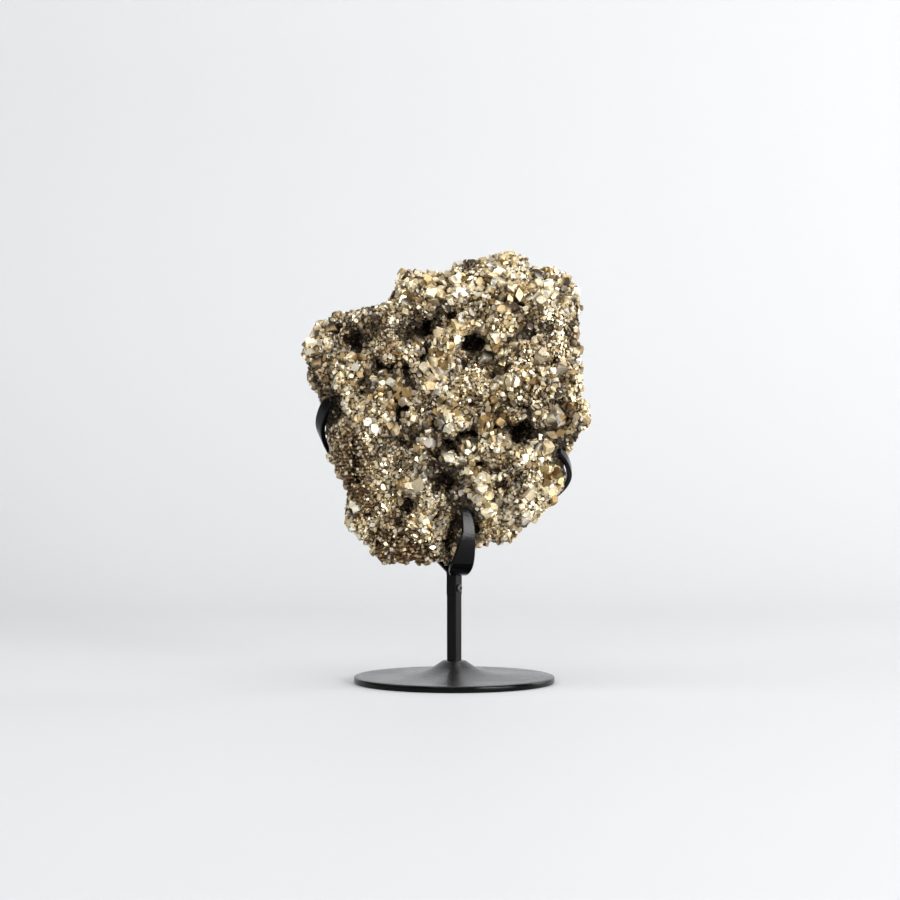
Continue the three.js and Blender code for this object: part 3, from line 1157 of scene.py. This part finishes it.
def plain_floor():
    """Pale floor that sweeps up into a pale wall behind the object."""
    bm = bmesh.new()
    outline = [(-6, 0), (0.5, 0)]
    for turn in np.linspace(0.1, math.pi / 2, 14):
        outline.append((0.5 + 0.45 * math.sin(turn), 0.45 - 0.45 * math.cos(turn)))
    outline.append((0.95, 2.4))
    verts = [bm.verts.new((-8, y, z)) for y, z in outline]
    edges = [bm.edges.new(pair) for pair in zip(verts, verts[1:])]
    swept = bmesh.ops.extrude_edge_only(bm, edges=edges)
    moved = [v for v in swept["geom"] if isinstance(v, bmesh.types.BMVert)]
    bmesh.ops.translate(bm, vec=(16, 0, 0), verts=moved)
    bmesh.ops.recalc_face_normals(bm, faces=bm.faces)
    mesh = bpy.data.meshes.new("plain_floor")
    bm.to_mesh(mesh)
    bm.free()
    mesh.polygons.foreach_set("use_smooth", [True] * len(mesh.polygons))
    floor = bpy.data.objects.new("plain_floor", mesh)
    bpy.context.scene.collection.objects.link(floor)
    material, _, shader = new_material("pale floor")
    shader.inputs["Base Color"].default_value = (0.59, 0.593, 0.60, 1)
    shader.inputs["Roughness"].default_value = 0.6
    mesh.materials.append(material)


def area_light(name, place, aim, size, power, colour=(1, 1, 1)):
    light = bpy.data.lights.new(name, "AREA")
    light.shape = "RECTANGLE"
    light.size, light.size_y = size
    light.energy = power
    light.color = colour
    lamp = bpy.data.objects.new(name, light)
    lamp.location = place
    lamp.rotation_euler = (Vector(aim) - Vector(place)).to_track_quat("-Z", "Y").to_euler()
    bpy.context.scene.collection.objects.link(lamp)


def panel(name, place, size, brightness):
    """Soft light panel turned to the object, of one brightness whatever its size."""
    area_light(name, place, (0, 0, 0.14), size, brightness * math.pi * size[0] * size[1])


def studio():
    """Soft light all round, with the brightest window on the right."""
    world = bpy.data.worlds.new("studio")
    world.use_nodes = True
    background = world.node_tree.nodes["Background"]
    background.inputs["Color"].default_value = (0.9, 0.95, 1.0, 1)
    background.inputs["Strength"].default_value = 0.24
    bpy.context.scene.world = world
    panel("ceiling panel", (0.1, -0.2, 1.5), (1.5, 1.2), 2.4)
    panel("left panel", (-1.3, -0.3, 1.0), (1.2, 1.0), 1.9)
    panel("right window", (1.1, -1.4, 0.48), (0.62, 0.5), 20.5)
    panel("right back panel", (1.3, 0.55, 0.5), (0.5, 0.9), 6)
    panel("front panel", (-0.2, -2.2, 1.1), (1.8, 1.1), 1.9)
    panel("low right panel", (1.2, -0.8, 0.22), (0.6, 0.35), 11)
    panel("left sparkle", (-0.7, -1.5, 0.75), (0.12, 0.12), 20)
    area_light("wall wash", (-0.5, 0.2, 1.9), (-0.5, 0.95, 0.7), (2.2, 0.3), 2)


def camera():
    data = bpy.data.cameras.new("camera")
    data.lens = 101.2
    data.sensor_width = 36
    data.clip_start = 0.05
    eye = bpy.data.objects.new("camera", data)
    eye.location = (-0.0023, -1.386, 0.1466)
    eye.rotation_euler = (math.radians(90 - 0.79), 0, 0)
    bpy.context.scene.collection.objects.link(eye)
    bpy.context.scene.camera = eye


def arm_surfaces(pieces):
    """All arms as one tree that answers how near a point is."""
    bm = bmesh.new()
    for piece in pieces:
        bm.from_mesh(piece.data)
    tree = BVHTree.FromBMesh(bm)
    bm.free()
    return tree


def stand():
    """The base, bar, head and screw, and the three arms, which it gives back."""
    coating = coating_group()
    black = black_material(coating, "black satin arms", (0.0008, 0.0007, 0.0007), 0.17, 0.01, 0.135)
    disc = black_material(coating, "black satin base", (0.0040, 0.0040, 0.0037), 0.25, 0.1, 0.85)
    # The screw's lighter tint and rubbed patches are partly wear and partly painted highlight
    screw = black_material(coating, "rubbed black screw with painted highlight", (0.02, 0.02, 0.021), 0.26, 0.5, 0.5)
    base(disc, black)
    stem(black)
    head(black)
    set_screw(screw)
    return [
        bent_arm("front_finger", FRONT_ARM, black, "front_arm", tip_side=-0.85, belly=5.6),
        bent_arm("left_finger", LEFT_ARM, black, "left_arm"),
        bent_arm("right_finger", RIGHT_ARM, black, "right_arm"),
    ]


camera()
arms = arm_surfaces(stand())
pyrite_cluster(arms)
plain_floor()
studio()
bpy.context.scene.view_settings.view_transform = "Standard"
